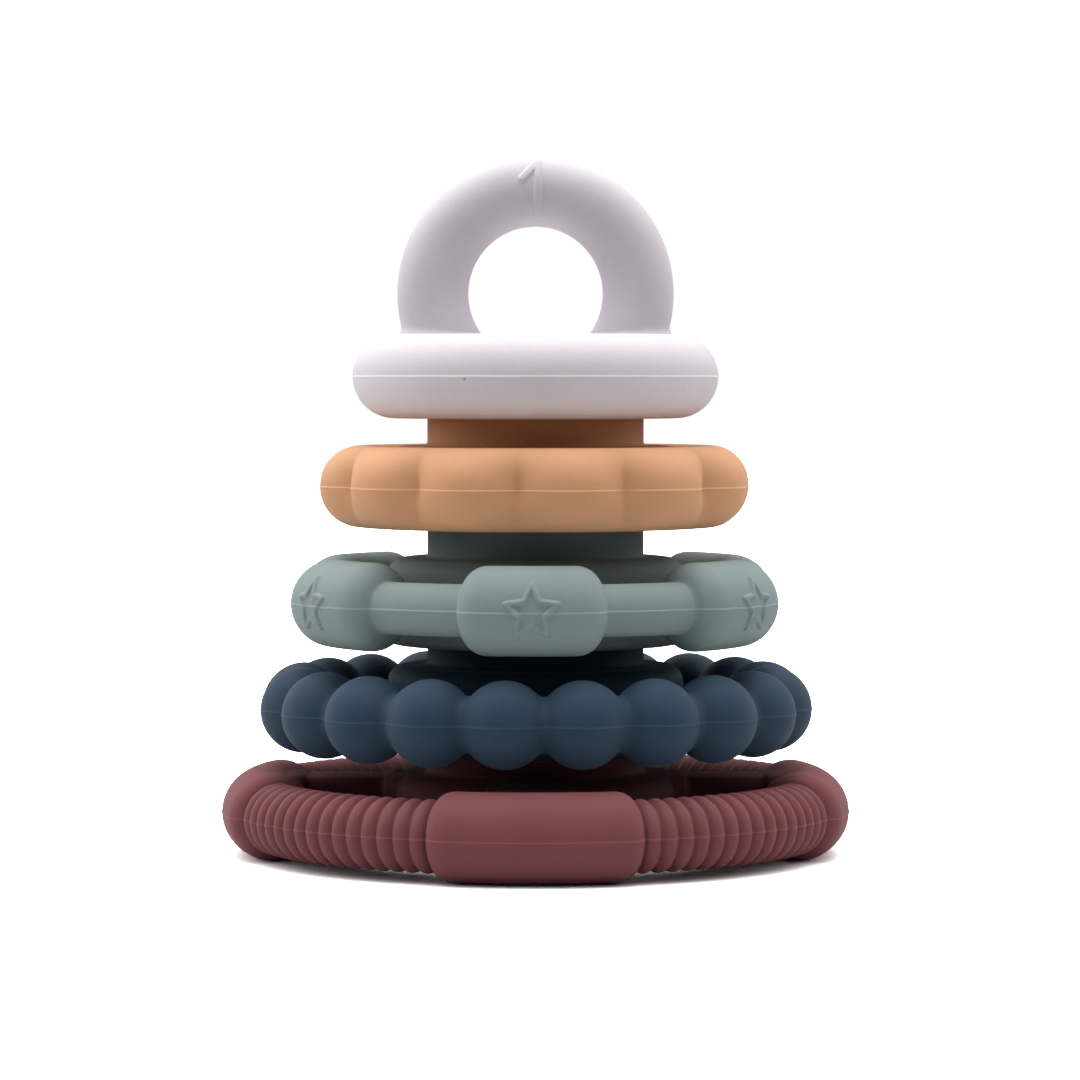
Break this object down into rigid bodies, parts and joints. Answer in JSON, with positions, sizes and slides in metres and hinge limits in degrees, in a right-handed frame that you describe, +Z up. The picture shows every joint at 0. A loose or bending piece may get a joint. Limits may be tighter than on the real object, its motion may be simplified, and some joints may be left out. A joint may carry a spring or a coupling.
{
  "type": "stacking ring toy",
  "caption": "Tower of differently shaped soft silicone rings that plug onto each other's posts and lift off one by one, with a round ring handle on top.",
  "frame": {"origin": "on the table, under the middle of the base ring", "axes": "+Z up along the posts; +X and -X through two of the base's smooth blocks and across the handle ring; -Y towards the side with the numeral"},
  "size_m": [0.1124, 0.1124, 0.1245],
  "materials": {
    "mauve_silicone": "matte silicone",
    "navy_silicone": "matte silicone",
    "sage_silicone": "matte silicone",
    "apricot_silicone": "matte silicone",
    "lilac_silicone": "matte silicone"
  },
  "bodies": {
    "base_ring": {"base_ring": "mauve_silicone"},
    "bead_ring": {"bead_ring": "navy_silicone"},
    "star_ring": {"star_ring": "sage_silicone"},
    "scallop_ring": {"scallop_ring": "apricot_silicone"},
    "handle_disc": {"handle_disc": "lilac_silicone"}
  },
  "joints": [
    {"name": "bead_ring_lift", "type": "slide", "parent": "base_ring", "child": "bead_ring", "axis": [0, 0, 1], "range_m": [0, 0.025]},
    {"name": "star_ring_lift", "type": "slide", "parent": "bead_ring", "child": "star_ring", "axis": [0, 0, 1], "range_m": [0, 0.025]},
    {"name": "scallop_ring_lift", "type": "slide", "parent": "star_ring", "child": "scallop_ring", "axis": [0, 0, 1], "range_m": [0, 0.025]},
    {"name": "handle_disc_lift", "type": "slide", "parent": "scallop_ring", "child": "handle_disc", "axis": [0, 0, 1], "range_m": [0, 0.025]}
  ]
}
